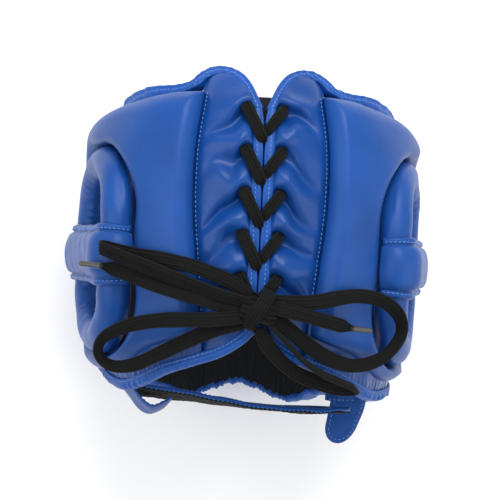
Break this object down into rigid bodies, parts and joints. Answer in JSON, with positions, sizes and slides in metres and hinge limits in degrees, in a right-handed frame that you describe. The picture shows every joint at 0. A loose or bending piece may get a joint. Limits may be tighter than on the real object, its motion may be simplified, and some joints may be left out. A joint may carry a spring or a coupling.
{
  "type": "boxing headgear",
  "caption": "Padded full-face boxing headgear with a laced back, ear rings under cross bands, and a hook-and-loop chin strap.",
  "frame": {"origin": "on the plane that the forehead and the chin guard rest on when the headgear lies face down, under the middle of its box", "axes": "+Z out of the back of the head, +Y towards the crown, +X towards the wearer's right, which is the right of the laced back as seen"},
  "size_m": [0.249, 0.244, 0.2468],
  "materials": {
    "cover_leather": "smooth royal blue coated leather, satin",
    "soft_leather": "soft creased royal blue coated leather, satin",
    "binding_leather": "folded blue binding with a lighter stitched line",
    "foam": "closed-cell foam, matt",
    "lining": "black ribbed lining",
    "lace": "black flat woven lace",
    "aglet": "dark clear plastic tip",
    "pile": "black brushed loop pile",
    "hook": "black hook tape"
  },
  "bodies": {
    "headgear": {"aglet_left": "aglet", "aglet_right": "aglet", "bow_knot": "lace", "bow_loop_lower_left": "lace", "bow_loop_lower_right": "lace", "bow_loop_right": "lace", "bow_loop_upper_left": "lace", "cheek_cover_left": "cover_leather", "cheek_cover_right": "cover_leather", "cheek_foam_left": "foam", "cheek_foam_right": "foam", "chin_guard_cover": "cover_leather", "chin_guard_foam": "foam", "chin_hem": "binding_leather", "ear_band_cover_left": "cover_leather", "ear_band_cover_right": "cover_leather", "ear_band_foam_left": "foam", "ear_band_foam_right": "foam", "ear_ring_core_left": "foam", "ear_ring_core_right": "foam", "ear_ring_cover_left": "cover_leather", "ear_ring_cover_right": "cover_leather", "forehead_cover": "cover_leather", "forehead_foam": "foam", "lace_crossings": "lace", "lace_end_left": "lace", "lace_end_right": "lace", "lace_panel_cover_left": "soft_leather", "lace_panel_cover_right": "soft_leather", "lace_panel_foam_left": "foam", "lace_panel_foam_right": "foam", "lining_back_left": "lining", "lining_back_right": "lining", "lining_cheek_left": "lining", "lining_cheek_right": "lining", "lining_chin": "lining", "lining_forehead": "lining", "lining_side_left": "lining", "lining_side_right": "lining", "lining_skirt_left": "lining", "lining_skirt_right": "lining", "neck_hem_left": "binding_leather", "neck_hem_right": "binding_leather", "neck_skirt_left": "cover_leather", "neck_skirt_right": "cover_leather", "side_cover_left": "cover_leather", "side_cover_right": "cover_leather", "side_foam_left": "foam", "side_foam_right": "foam", "slit_binding_left": "binding_leather", "slit_binding_right": "binding_leather", "tongue_tab": "cover_leather", "top_binding_left": "binding_leather", "top_binding_right": "binding_leather"},
    "strap": {"chin_strap": "cover_leather", "strap_pile": "pile"},
    "tongue": {"chin_tongue": "cover_leather", "tongue_hook_patch": "hook"}
  },
  "joints": [
    {"name": "chin_strap_swing", "type": "hinge", "parent": "headgear", "child": "strap", "pos_m": [-0.07, -0.088, 0.155], "axis": [0, 0, -1], "range_deg": [0, 90]},
    {"name": "chin_tongue_swing", "type": "hinge", "parent": "headgear", "child": "tongue", "pos_m": [0.068, -0.0936, 0.128], "axis": [1, 0, 0], "range_deg": [0, 80]}
  ]
}
